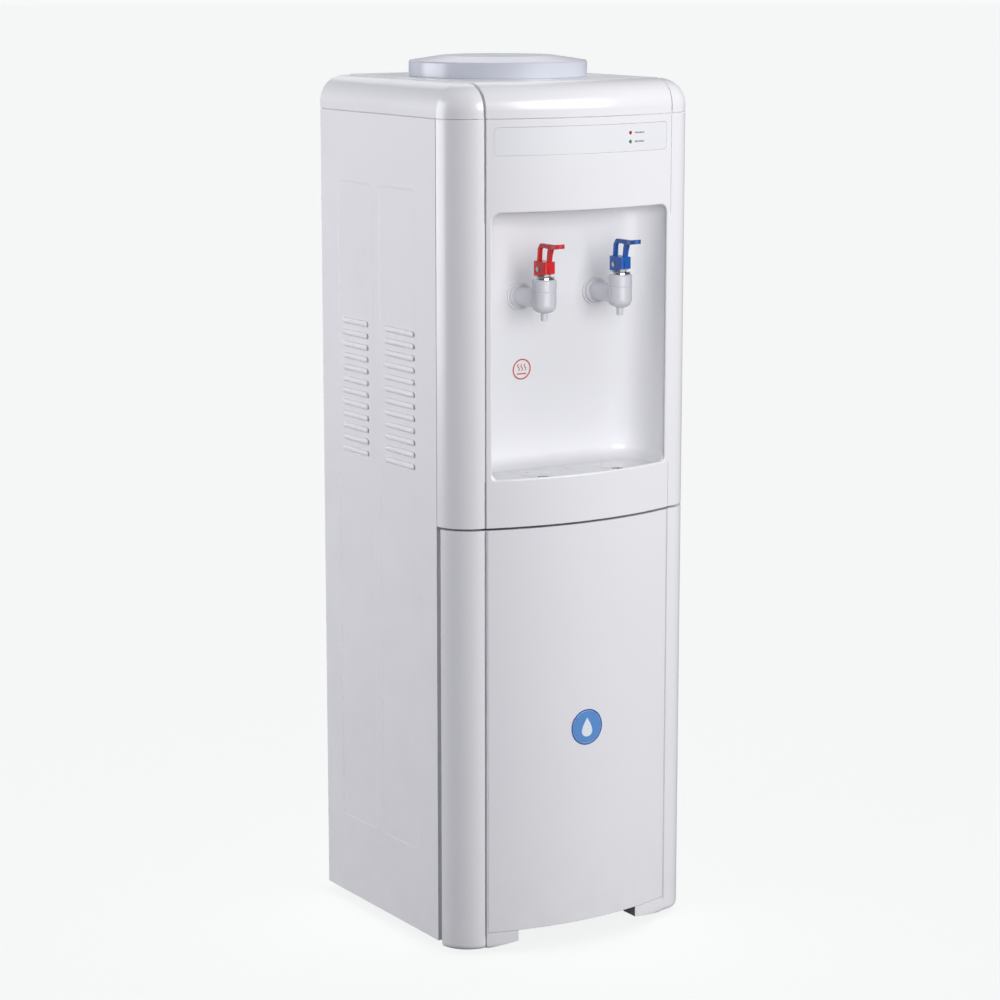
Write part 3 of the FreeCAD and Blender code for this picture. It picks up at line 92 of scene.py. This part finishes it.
def noise(tree, scale, detail=2.0, stretch=(1.0, 1.0, 1.0)):
    texture = add_node(tree, "ShaderNodeTexNoise")
    texture.inputs["Scale"].default_value = scale
    texture.inputs["Detail"].default_value = detail
    tree.links.new(object_point(tree, stretch), texture.inputs["Vector"])
    return texture.outputs["Fac"]


def cells(tree, scale, feature="F1"):
    texture = add_node(tree, "ShaderNodeTexVoronoi", feature=feature)
    texture.inputs["Scale"].default_value = scale
    tree.links.new(object_point(tree), texture.inputs["Vector"])
    return texture.outputs["Distance"]


def ramp(tree, factor, low, high, start=0.3, end=0.7):
    """A number that runs from low to high while factor runs from start to end."""
    spread = add_node(tree, "ShaderNodeMapRange")
    spread.inputs["From Min"].default_value = start
    spread.inputs["From Max"].default_value = end
    spread.inputs["To Min"].default_value = low
    spread.inputs["To Max"].default_value = high
    tree.links.new(factor, spread.inputs["Value"])
    return spread.outputs["Result"]


def blend_colours(tree, factor, first, second):
    """Mix of two colours; either may be a fixed colour or the output of a node."""
    mix = add_node(tree, "ShaderNodeMix", data_type="RGBA")
    tree.links.new(factor, mix.inputs["Factor"])
    for socket, colour in (("A", first), ("B", second)):
        target = [s for s in mix.inputs if s.name == socket and s.type == "RGBA"][0]
        if isinstance(colour, tuple):
            target.default_value = (*colour, 1.0)
        else:
            tree.links.new(colour, target)
    return [s for s in mix.outputs if s.type == "RGBA"][0]


def scaled(colour, amount):
    return tuple(min(1.0, c * amount) for c in colour)


def bump_chain(tree, shader, layers, edge=0.0):
    """Bump layers of (height, depth in metres, strength), over edges softened by the radius edge."""
    normal = None
    if edge > 0.0:
        bevel = add_node(tree, "ShaderNodeBevel", samples=4)
        bevel.inputs["Radius"].default_value = edge
        normal = bevel.outputs["Normal"]
    for height, depth, strength in layers:
        bump = add_node(tree, "ShaderNodeBump")
        bump.inputs["Distance"].default_value = depth
        bump.inputs["Strength"].default_value = strength
        tree.links.new(height, bump.inputs["Height"])
        if normal is not None:
            tree.links.new(normal, bump.inputs["Normal"])
        normal = bump.outputs["Normal"]
    tree.links.new(normal, shader.inputs["Normal"])


def start_material(name, **settings):
    """A material with a principled shader; settings are fixed values of its sockets."""
    material = bpy.data.materials.new(name)
    material.use_nodes = True
    tree = material.node_tree
    shader = tree.nodes["Principled BSDF"]
    for key, value in settings.items():
        shader.inputs[key.replace("_", " ")].default_value = value
    return material, tree, shader


# ---------------------------------------------------------------- finishes
def moulded(name, colour, rough, mottle=0.005, grain=420.0, grain_depth=0.00001, wave_depth=0.00009,
            floor_darkening=0.0, edge=0.0007, **settings):
    """Moulded plastic: faint cloudy tone, fine grain, slow waves left by the mould, darker towards the floor
    when asked.
    """
    material, tree, shader = start_material(name, **settings)
    clouds = noise(tree, 7.0, 3.0)
    dark = scaled(colour, 1 - mottle)
    light = scaled(colour, 1 + mottle)
    tone = blend_colours(tree, ramp(tree, clouds, 0.0, 1.0), dark, light)
    # darker towards the floor by this amount, broken up by noise
    if floor_darkening > 0.0:
        tone = darken_near_floor(tree, tone, floor_darkening)
    tree.links.new(tone, shader.inputs["Base Color"])
    patches = noise(tree, 24.0, 3.0)
    tree.links.new(ramp(tree, patches, rough[0], rough[1]), shader.inputs["Roughness"])
    layers = [(noise(tree, 14.0, 1.0), wave_depth, 1.0), (noise(tree, grain, 2.0), grain_depth, 1.0)]
    bump_chain(tree, shader, layers, edge)
    return material


def darken_near_floor(tree, tone, amount):
    """Darker towards the floor: a brownish grey mixed in over the lowest 13 cm, broken up by noise."""
    separate = add_node(tree, "ShaderNodeSeparateXYZ")
    tree.links.new(object_point(tree), separate.inputs["Vector"])
    low = ramp(tree, separate.outputs["Z"], amount, 0.0, 0.004, 0.13)
    patches = ramp(tree, noise(tree, 40.0, 4.0), 0.35, 1.0, 0.35, 0.65)
    product = add_node(tree, "ShaderNodeMath", operation="MULTIPLY")
    tree.links.new(low, product.inputs[0])
    tree.links.new(patches, product.inputs[1])
    return blend_colours(tree, product.outputs["Value"], tone, (0.42, 0.40, 0.37))


def powder_coat(name, colour):
    """Painted sheet steel: orange peel in the paint, slow sheet waves, darker towards the floor."""
    material, tree, shader = start_material(name, Specular_IOR_Level=0.5)
    clouds = noise(tree, 5.0, 4.0)
    tone = blend_colours(tree, ramp(tree, clouds, 0.0, 1.0), scaled(colour, 0.982), scaled(colour, 1.012))
    # darker towards the floor, up to 12 percent of the way to a brownish grey
    tree.links.new(darken_near_floor(tree, tone, 0.12), shader.inputs["Base Color"])
    tree.links.new(ramp(tree, noise(tree, 30.0, 3.0), 0.34, 0.44), shader.inputs["Roughness"])
    layers = [(noise(tree, 3.5, 1.0), 0.0009, 1.0), (noise(tree, 420.0, 2.0), 0.00012, 1.0)]
    bump_chain(tree, shader, layers, 0.0008)
    return material


def brushed(name, colour, rough, stretch):
    """Sheet or bar metal with fine lines along one direction."""
    material, tree, shader = start_material(name, Metallic=1.0)
    lines = noise(tree, 60.0, 3.0, stretch)
    tone = blend_colours(tree, ramp(tree, lines, 0.0, 1.0), scaled(colour, 0.9), scaled(colour, 1.06))
    tree.links.new(tone, shader.inputs["Base Color"])
    tree.links.new(ramp(tree, lines, rough[0], rough[1]), shader.inputs["Roughness"])
    bump_chain(tree, shader, [(lines, 0.00005, 1.0)], 0.0004)
    return material


def zinc_plate(name, colour):
    """Zinc plating: soft cloudy crystals in tone and roughness."""
    material, tree, shader = start_material(name, Metallic=0.9)
    crystals = cells(tree, 160.0)
    pale = scaled(colour, 1.05)
    dull = scaled(colour, 0.82)
    tone = blend_colours(tree, ramp(tree, crystals, 0.0, 1.0, 0.1, 0.8), pale, dull)
    tree.links.new(tone, shader.inputs["Base Color"])
    tree.links.new(ramp(tree, noise(tree, 90.0, 3.0), 0.28, 0.48), shader.inputs["Roughness"])
    bump_chain(tree, shader, [(noise(tree, 500.0, 2.0), 0.00004, 1.0)], 0.0004)
    return material


def chrome(name):
    """Bright plating with faint smears."""
    material, tree, shader = start_material(name, Metallic=1.0)
    smears = noise(tree, 260.0, 3.0)
    tone = blend_colours(tree, ramp(tree, smears, 0.0, 1.0), (0.70, 0.70, 0.72), (0.82, 0.82, 0.84))
    tree.links.new(tone, shader.inputs["Base Color"])
    tree.links.new(ramp(tree, smears, 0.05, 0.14), shader.inputs["Roughness"])
    bump_chain(tree, shader, [(noise(tree, 700.0, 1.0), 0.00002, 1.0)], 0.0003)
    return material


def rubber(name, colour, rough):
    """Rubber: dull, with a dusty bloom and a fine pebbled skin."""
    material, tree, shader = start_material(name, Specular_IOR_Level=0.3)
    bloom = noise(tree, 120.0, 4.0)
    tone = blend_colours(tree, ramp(tree, bloom, 0.0, 1.0), scaled(colour, 0.85), scaled(colour, 1.25))
    tree.links.new(tone, shader.inputs["Base Color"])
    tree.links.new(ramp(tree, bloom, rough[0], rough[1]), shader.inputs["Roughness"])
    bump_chain(tree, shader, [(cells(tree, 900.0), 0.00012, 0.6)], 0.0005)
    return material


def foam(name):
    """Expanded foam: pressed-together beads."""
    material, tree, shader = start_material(name, Subsurface_Weight=0.1)
    beads = cells(tree, 260.0)
    tone = blend_colours(tree, ramp(tree, beads, 0.0, 1.0, 0.1, 0.7), (0.90, 0.90, 0.88), (0.76, 0.76, 0.73))
    tree.links.new(tone, shader.inputs["Base Color"])
    tree.links.new(ramp(tree, beads, 0.75, 0.95), shader.inputs["Roughness"])
    bump_chain(tree, shader, [(beads, 0.0006, 0.7)])
    return material


def circuit_board(name):
    """Green board with paler tracks."""
    material, tree, shader = start_material(name)
    tracks = add_node(tree, "ShaderNodeTexBrick")
    tracks.inputs["Scale"].default_value = 90.0
    tracks.inputs["Mortar Size"].default_value = 0.03
    tracks.inputs["Color1"].default_value = (0.03, 0.20, 0.09, 1.0)
    tracks.inputs["Color2"].default_value = (0.04, 0.24, 0.11, 1.0)
    tracks.inputs["Mortar"].default_value = (0.14, 0.42, 0.22, 1.0)
    tree.links.new(object_point(tree), tracks.inputs["Vector"])
    tree.links.new(tracks.outputs["Color"], shader.inputs["Base Color"])
    tree.links.new(ramp(tree, noise(tree, 200.0), 0.3, 0.5), shader.inputs["Roughness"])
    bump_chain(tree, shader, [(tracks.outputs["Fac"], 0.0001, 0.5)])
    return material


def lamp_lens(name, colour, glow):
    """A small coloured lens with a faint glow."""
    material, tree, shader = start_material(name, Transmission_Weight=0.25, IOR=1.5)
    shader.inputs["Emission Color"].default_value = (*colour, 1.0)
    shader.inputs["Emission Strength"].default_value = glow
    depth = noise(tree, 700.0, 2.0)
    tone = blend_colours(tree, ramp(tree, depth, 0.0, 1.0), scaled(colour, 0.75), scaled(colour, 1.1))
    tree.links.new(tone, shader.inputs["Base Color"])
    tree.links.new(ramp(tree, depth, 0.08, 0.16), shader.inputs["Roughness"])
    bump_chain(tree, shader, [(depth, 0.00003, 1.0)])
    return material


def ink(name, colour, rough=(0.3, 0.45)):
    """Screen-printed ink: a slightly uneven film."""
    material, tree, shader = start_material(name)
    film = noise(tree, 600.0, 3.0)
    tone = blend_colours(tree, ramp(tree, film, 0.0, 1.0), scaled(colour, 0.92), scaled(colour, 1.08))
    tree.links.new(tone, shader.inputs["Base Color"])
    tree.links.new(ramp(tree, film, rough[0], rough[1]), shader.inputs["Roughness"])
    bump_chain(tree, shader, [(film, 0.00003, 1.0)])
    return material


FINISHES = {
    "case_steel": powder_coat("case_steel", (0.795, 0.79, 0.815)),
    "body_white": moulded("body_white", (0.84, 0.838, 0.86), (0.22, 0.26), floor_darkening=0.10),
    # recess_white is paler than body_white: partly the liner's own paler plastic, partly painted light that
    # brightens the shaded recess
    "recess_white": moulded("recess_white", (0.90, 0.90, 0.92), (0.20, 0.24), wave_depth=0.00006,
                            Coat_Weight=0.3, Coat_Roughness=0.08),
    "door_white": moulded("door_white", (0.825, 0.822, 0.85), (0.285, 0.325), floor_darkening=0.10,
                          grain_depth=0.000015),
    "lid_white": moulded("lid_white", (0.60, 0.61, 0.68), (0.20, 0.25), Subsurface_Weight=0.15,
                         Subsurface_Scale=0.01),
    "label_film": moulded("label_film", (0.81, 0.815, 0.84), (0.30, 0.34), edge=0.0003),
    "tap_white": moulded("tap_white", (0.76, 0.76, 0.81), (0.18, 0.24), edge=0.0005),
    "hot_red": moulded("hot_red", (0.78, 0.030, 0.034), (0.20, 0.26), mottle=0.05, edge=0.0004,
                       Specular_IOR_Level=0.35),
    "cold_blue": moulded("cold_blue", (0.025, 0.13, 0.50), (0.20, 0.26), mottle=0.06, edge=0.0004,
                         Specular_IOR_Level=0.35),
    "chrome_trim": chrome("chrome_trim"),
    "pin_white": moulded("pin_white", (0.80, 0.81, 0.83), (0.3, 0.4)),
    "silicone": moulded("silicone", (0.72, 0.74, 0.76), (0.35, 0.5), mottle=0.04, Subsurface_Weight=0.3,
                        Subsurface_Scale=0.006),
    "feet_rubber": rubber("feet_rubber", (0.045, 0.045, 0.05), (0.7, 0.9)),
    "seal_grey": rubber("seal_grey", (0.48, 0.49, 0.51), (0.5, 0.7)),
    "zinc_steel": zinc_plate("zinc_steel", (0.60, 0.61, 0.60)),
    "stainless": brushed("stainless", (0.62, 0.62, 0.63), (0.18, 0.34), (1.0, 1.0, 12.0)),
    "foam_white": foam("foam_white"),
    "black_plastic": moulded("black_plastic", (0.03, 0.03, 0.033), (0.35, 0.55), mottle=0.15,
                             grain_depth=0.0001, edge=0.0004),
    "white_plastic": moulded("white_plastic", (0.74, 0.745, 0.77), (0.40, 0.50), mottle=0.015,
                             grain_depth=0.00009),
    "aluminium_sink": brushed("aluminium_sink", (0.72, 0.72, 0.73), (0.3, 0.45), (14.0, 14.0, 1.0)),
    "board_green": circuit_board("board_green"),
    "lamp_red": lamp_lens("lamp_red", (0.62, 0.05, 0.04), 0.05),
    "lamp_green": lamp_lens("lamp_green", (0.05, 0.24, 0.12), 0.02),
}


def dress_nodes():
    """Give every CAD node its finish, by the name of the slot it was packed with."""
    for node in NODES.values():
        for slot in node.material_slots:
            slot.material = FINISHES[slot.material.name.split(".")[0]]


# ---------------------------------------------------------------- printed marks
FIRST_FILM = 0.00012                     # how far a print stands off the surface it is on
SECOND_FILM = 0.00022                    # the same for a print on top of another
FILM_THICK = 0.00008
NEARLY_NOTHING = 0.001                   # the innermost copy of a filled outline, so that it keeps its faces


def on_front(node, x, z, lift):
    """The point on the front of a CAD node at x, z, raised by lift."""
    hit, place, normal, _ = NODES[node].ray_cast(Vector((x, -0.4, z)), Vector((0.0, 1.0, 0.0)))
    if not hit:
        raise ValueError(f"nothing of {node} at {x}, {z}")
    return place + normal * lift


def mesh_piece(name, points, faces, material, body):
    mesh = bpy.data.meshes.new(name)
    mesh.from_pydata(points, [], faces)
    mesh.update()
    piece = bpy.data.objects.new(name, mesh)
    bpy.context.scene.collection.objects.link(piece)
    mesh.materials.append(material)
    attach(piece, body)
    return piece


def patch(name, node, centre, outline, material, body, slot, inner=0.0, lift=FIRST_FILM, rings=5):
    """A printed shape that lies on the front of a node: the space between an outline and its inner copy."""
    count = len(outline)
    points = []
    for level in (lift, lift + FILM_THICK):
        for k in range(rings + 1):
            share = max(k / rings, NEARLY_NOTHING) if inner == 0.0 else k / rings
            size = inner + (1.0 - inner) * share
            for dx, dz in outline:
                points.append(on_front(node, centre[0] + dx * size, centre[1] + dz * size, level))
    faces = []
    layer = (rings + 1) * count
    for k in range(rings):
        for i in range(count):
            a, b = k * count + i, k * count + (i + 1) % count
            quad = (a, b, b + count, a + count)
            faces.append(quad)
            faces.append(tuple(layer + q for q in reversed(quad)))
    for i in range(count):
        a, b = rings * count + i, rings * count + (i + 1) % count
        faces.append((a, b, layer + b, layer + a))
        a, b = i, (i + 1) % count
        faces.append((b, a, layer + a, layer + b))
    return mesh_piece(name, points, faces, material, body)


def line(name, node, path, width, material, body, slot, lift=FIRST_FILM):
    """A printed stroke of constant width along a path of (x, z) points."""
    points = []
    for level in (lift, lift + FILM_THICK):
        for i, (x, z) in enumerate(path):
            x0, z0 = path[max(i - 1, 0)]
            x1, z1 = path[min(i + 1, len(path) - 1)]
            length = math.hypot(x1 - x0, z1 - z0)
            nx, nz = -(z1 - z0) / length, (x1 - x0) / length
            for side in (-0.5, 0.5):
                points.append(on_front(node, x + nx * width * side, z + nz * width * side, level))
    faces = []
    layer = 2 * len(path)
    for i in range(len(path) - 1):
        a = 2 * i
        faces.append((a, a + 1, a + 3, a + 2))
        faces.append((layer + a, layer + a + 2, layer + a + 3, layer + a + 1))
        faces.append((a, a + 2, layer + a + 2, layer + a))
        faces.append((a + 1, layer + a + 1, layer + a + 3, a + 3))
    faces.append((0, layer, layer + 1, 1))
    last = layer - 2
    faces.append((last, last + 1, layer + last + 1, layer + last))
    return mesh_piece(name, points, faces, material, body)


def circle(radius, count=48):
    angles = [2 * math.pi * k / count for k in range(count)]
    return [(radius * math.cos(a), radius * math.sin(a)) for a in angles]


DROP_TAPER = 0.7                         # how fast the drop narrows towards its point
DROP_WIDEST = 1.4                        # brings its widest part back to the stated width


def drop(width, height, count=48):
    """A water drop: round below, drawn to a point above."""
    found = []
    for k in range(count):
        a = 2 * math.pi * k / count
        taper = DROP_WIDEST * ((1.0 - math.sin(a)) / 2) ** DROP_TAPER
        found.append((width / 2 * math.cos(a) * taper, height / 2 * math.sin(a)))
    return found


DOOR_MARK = (-0.001, 0.243)              # x, z of its middle
MARK_FIELD_R = 0.0180
MARK_RIM_R = 0.0200
NOTICE = (-0.041, 0.631)                 # x, z of its middle
NOTICE_R = 0.0115
NOTICE_WAVE_SWING = 0.0012
NOTICE_WAVE_STEP = 0.0006                # rise of a wave from one of its points to the next
NOTICE_WAVE_GAP = 0.0042
NOTICE_BASE_HALF = 0.006
DASH_START_X = 0.0595
DASH_LENGTHS = (0.0030, 0.0022, 0.0036, 0.0024)
DASH_GAP = 0.0007
DASH_WIDTH = 0.0015


def make_door_mark():
    """A plain water mark on the door: a pale drop on a round blue field with a rim."""
    sky = ink("mark_sky", (0.11, 0.29, 0.64))
    deep = ink("mark_deep", (0.02, 0.10, 0.42))
    pale = ink("mark_pale", (0.80, 0.86, 0.92))
    common = dict(body="door", slot="label_film")
    patch("mark_field", "door_panel", DOOR_MARK, circle(MARK_FIELD_R), sky, **common)
    patch("mark_rim", "door_panel", DOOR_MARK, circle(MARK_RIM_R), deep, inner=0.92, rings=1, **common)
    patch("mark_drop", "door_panel", DOOR_MARK, drop(0.0135, 0.0215), pale, lift=SECOND_FILM, **common)


def make_notice():
    """A plain red ring with three rising waves, printed on the recess wall."""
    x, z = NOTICE
    red = ink("notice_red", (0.62, 0.07, 0.06))
    common = dict(body="case", slot="label_film")
    patch("notice_ring", "recess_liner", (x, z), circle(NOTICE_R), red, inner=0.87, rings=1, **common)
    for k in range(3):
        middle = x + (k - 1) * NOTICE_WAVE_GAP
        rise = []
        for t in range(13):
            swing = NOTICE_WAVE_SWING * math.sin(math.pi * t / 6)
            rise.append((middle + swing, z - 0.0015 + NOTICE_WAVE_STEP * t))
        line(f"notice_wave_{k}", "recess_liner", rise, 0.0010, red, **common)
    base = [(x - NOTICE_BASE_HALF, z - 0.005), (x + NOTICE_BASE_HALF, z - 0.005)]
    line("notice_base", "recess_liner", base, 0.0013, red, **common)


def make_lamp_bars():
    """A short row of printed dashes beside each lamp."""
    grey = ink("lamp_dash_grey", (0.24, 0.24, 0.27))
    for lamp in ("heating_lamp", "cooling_lamp"):
        low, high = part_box(lamp)
        z = (low.z + high.z) / 2
        x = DASH_START_X
        for k, length in enumerate(DASH_LENGTHS):
            dash = [(x, z), (x + length, z)]
            line(f"{lamp}_dash_{k}", "indicator_label", dash, DASH_WIDTH, grey, "case", "label_film")
            x += length + DASH_GAP


# ---------------------------------------------------------------- floor, backdrop and light
BACKDROP = (0.939, 0.956, 0.947)
STAGE_R = 60.0
HORIZON_LIGHT = (0.315, 0.32, 0.35)
OVERHEAD_LIGHT = (0.15, 0.155, 0.18)


def stage_material(name, shade, glow):
    """Pale stage paint: part painted, part lit from inside, so that it stays even."""
    material, tree, shader = start_material(name, Roughness=0.9, Specular_IOR_Level=0.0)
    shader.inputs["Base Color"].default_value = (shade, shade, shade, 1.0)
    shader.inputs["Emission Color"].default_value = (*BACKDROP, 1.0)
    shader.inputs["Emission Strength"].default_value = glow
    return material


def make_stage():
    bpy.ops.mesh.primitive_circle_add(vertices=64, radius=STAGE_R, fill_type="NGON")
    floor = bpy.context.object
    floor.name = "floor"
    floor.data.materials.append(stage_material("floor_paint", 0.30, 0.915))
    floor.visible_diffuse = False
    floor.visible_glossy = False
    floor.visible_transmission = False

    bpy.ops.mesh.primitive_circle_add(vertices=64, radius=STAGE_R, fill_type="NGON", location=(0, 0, -0.001))
    bounce = bpy.context.object
    bounce.name = "floor_bounce"
    bounce.data.materials.append(stage_material("bounce_paint", 0.55, 0.0))
    bounce.visible_camera = False

    bpy.ops.mesh.primitive_uv_sphere_add(segments=48, ring_count=24, radius=STAGE_R)
    dome = bpy.context.object
    dome.name = "backdrop"
    dome.data.materials.append(stage_material("backdrop_paint", 0.0, 1.0))
    dome.visible_diffuse = False
    dome.visible_glossy = False
    dome.visible_transmission = False
    dome.visible_shadow = False
    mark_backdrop(floor, bounce, dome)


def make_world():
    """Soft light from all round, stronger near the horizon than from above."""
    world = bpy.data.worlds.new("studio")
    world.use_nodes = True
    tree = world.node_tree
    background = tree.nodes["Background"]
    coords = add_node(tree, "ShaderNodeTexCoord")
    separate = add_node(tree, "ShaderNodeSeparateXYZ")
    tree.links.new(coords.outputs["Generated"], separate.inputs["Vector"])
    height = ramp(tree, separate.outputs["Z"], 0.0, 1.0, -0.1, 0.8)
    sky = blend_colours(tree, height, HORIZON_LIGHT, OVERHEAD_LIGHT)
    tree.links.new(sky, background.inputs["Color"])
    bpy.context.scene.world = world


def softbox(name, place, target, width, height, power, colour, lit):
    data = bpy.data.lights.new(name, "AREA")
    data.shape = "RECTANGLE"
    data.size = width
    data.size_y = height
    data.energy = power
    data.color = colour
    light = bpy.data.objects.new(name, data)
    light.location = place
    direction = Vector(target) - Vector(place)
    light.rotation_euler = direction.to_track_quat("-Z", "Y").to_euler()
    bpy.context.scene.collection.objects.link(light)
    light.light_linking.receiver_collection = lit


RECESS_NODES = ("recess_liner", "drip_tray", "drip_grid")


def make_lights():
    """Softboxes at the rear left, front right, behind and above, and one in front for the recess and taps."""
    everything = bpy.data.collections.new("object_pieces")
    shell = bpy.data.collections.new("shell_pieces")
    recess = bpy.data.collections.new("recess_pieces")
    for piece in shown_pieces():
        everything.objects.link(piece)
        in_recess = piece.name in RECESS_NODES or piece.name.startswith(("notice", "hot_", "cold_", "tap_"))
        (recess if in_recess else shell).objects.link(piece)
    white = (1.0, 1.0, 1.0)
    cool = (0.985, 0.985, 1.0)
    warm = (1.0, 0.998, 0.995)
    faint_cool = (0.99, 0.99, 1.0)
    middle = (0.0, 0.0, 0.62)
    taps = (0.0, 0.0, 0.70)
    lid = (0.0, 0.0, 0.96)
    softbox("left_box", (-2.85, 1.85, 1.25), middle, 2.4, 2.4, 99.0, cool, everything)
    softbox("front_box", (1.24, -3.10, 1.92), middle, 2.3, 1.50, 121.0, warm, shell)
    softbox("recess_box", (-0.46, -3.5, 1.05), taps, 2.9, 2.5, 102.0, white, recess)
    softbox("back_box", (1.15, 2.8, 2.2), middle, 1.8, 1.2, 8.0, white, everything)
    softbox("top_box", (0.9, 1.7, 2.9), (0.0, 0.0, 0.95), 1.2, 0.8, 6.0, white, everything)
    softbox("low_back_box", (1.72, 2.70, 1.10), lid, 2.2, 0.8, 1.9, faint_cool, everything)


# ---------------------------------------------------------------- build
bpy.context.scene.view_settings.view_transform = "Standard"
make_camera()
dress_nodes()
make_door_mark()
make_notice()
make_lamp_bars()
make_stage()
make_world()
make_lights()
